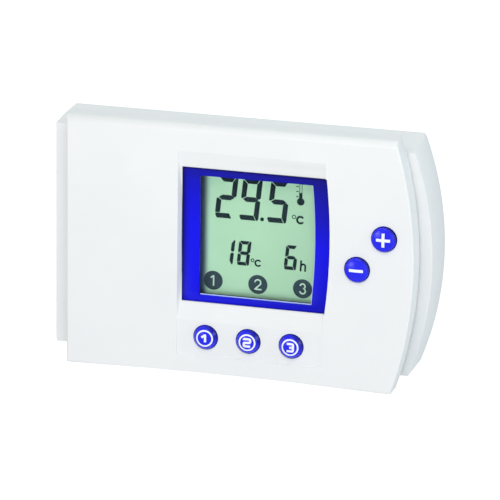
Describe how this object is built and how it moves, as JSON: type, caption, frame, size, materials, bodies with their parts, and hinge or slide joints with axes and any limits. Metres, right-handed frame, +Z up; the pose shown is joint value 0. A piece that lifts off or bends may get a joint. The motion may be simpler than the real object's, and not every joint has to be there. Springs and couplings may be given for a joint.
{
  "type": "wall thermostat",
  "caption": "Digital room thermostat for a wall: white front unit with a bowed side, blue-framed LCD and round blue keys, on a rear housing with side ledges.",
  "frame": {"origin": "on the wall face of the rear housing, midway between the two box screws", "axes": "+X to the right seen from the front, +Y into the wall, +Z up"},
  "size_m": [0.1318, 0.0291, 0.0874],
  "materials": {
    "white_shell": "satin gloss moulded",
    "blue_frame": "gloss moulded",
    "blue_key": "gloss moulded, white print",
    "clear_lens": "clear acrylic",
    "lcd_glass": "clear LCD glass",
    "lcd_reflector": "pale green reflective film",
    "black_plastic": "matte moulded",
    "contact_rubber": "silicone strip",
    "circuit_board": "solder mask",
    "steel": "zinc plated",
    "brass": "plain",
    "tinned_metal": "nickel plated",
    "capacitor_sleeve": "plain can",
    "relay_case": "moulded",
    "thermistor_bead": "epoxy dipped",
    "plunger_plastic": "moulded",
    "inner_chassis": "fine matte",
    "battery_jacket": "plain printed jacket",
    "terminal_plastic": "moulded"
  },
  "bodies": {
    "wall_base": {"rear_housing": "white_shell", "terminal_block": "terminal_plastic", "terminal_clamps": "brass", "terminal_screws": "steel", "link_socket": "black_plastic", "link_contacts": "brass", "block_screws": "steel"},
    "front_unit": {"front_cover": "white_shell", "lcd_bezel": "blue_frame", "lcd_lens": "clear_lens", "lcd_holder": "black_plastic", "lcd_front_glass": "lcd_glass", "lcd_back_glass": "lcd_glass", "lcd_reflector": "lcd_reflector", "lcd_connectors": "contact_rubber", "main_board": "circuit_board", "board_screws": "steel", "controller_chip": "black_plastic", "clock_crystal": "steel", "capacitor": "capacitor_sleeve", "relay": "relay_case", "thermistor": "thermistor_bead", "pin_header": "black_plastic", "link_pins": "brass", "switch_bodies": "black_plastic", "chassis": "inner_chassis", "chassis_screws": "steel", "battery_upper": "battery_jacket", "battery_lower": "battery_jacket", "battery_springs": "tinned_metal", "battery_plates": "tinned_metal"},
    "plus_button": {"plus_key": "blue_key", "plus_plunger": "plunger_plastic"},
    "minus_button": {"minus_key": "blue_key", "minus_plunger": "plunger_plastic"},
    "key_1_button": {"key_1": "blue_key", "plunger_1": "plunger_plastic"},
    "key_2_button": {"key_2": "blue_key", "plunger_2": "plunger_plastic"},
    "key_3_button": {"key_3": "blue_key", "plunger_3": "plunger_plastic"}
  },
  "joints": [
    {"name": "front_unit_pull", "type": "slide", "parent": "wall_base", "child": "front_unit", "axis": [0, -1, 0], "range_m": [0, 0.026]},
    {"name": "plus_press", "type": "slide", "parent": "front_unit", "child": "plus_button", "axis": [0, 1, 0], "range_m": [0, 0.0008], "stiffness_N_per_m": 1500},
    {"name": "minus_press", "type": "slide", "parent": "front_unit", "child": "minus_button", "axis": [0, 1, 0], "range_m": [0, 0.0008], "stiffness_N_per_m": 1500},
    {"name": "key_1_press", "type": "slide", "parent": "front_unit", "child": "key_1_button", "axis": [0, 1, 0], "range_m": [0, 0.0008], "stiffness_N_per_m": 1500},
    {"name": "key_2_press", "type": "slide", "parent": "front_unit", "child": "key_2_button", "axis": [0, 1, 0], "range_m": [0, 0.0008], "stiffness_N_per_m": 1500},
    {"name": "key_3_press", "type": "slide", "parent": "front_unit", "child": "key_3_button", "axis": [0, 1, 0], "range_m": [0, 0.0008], "stiffness_N_per_m": 1500}
  ]
}
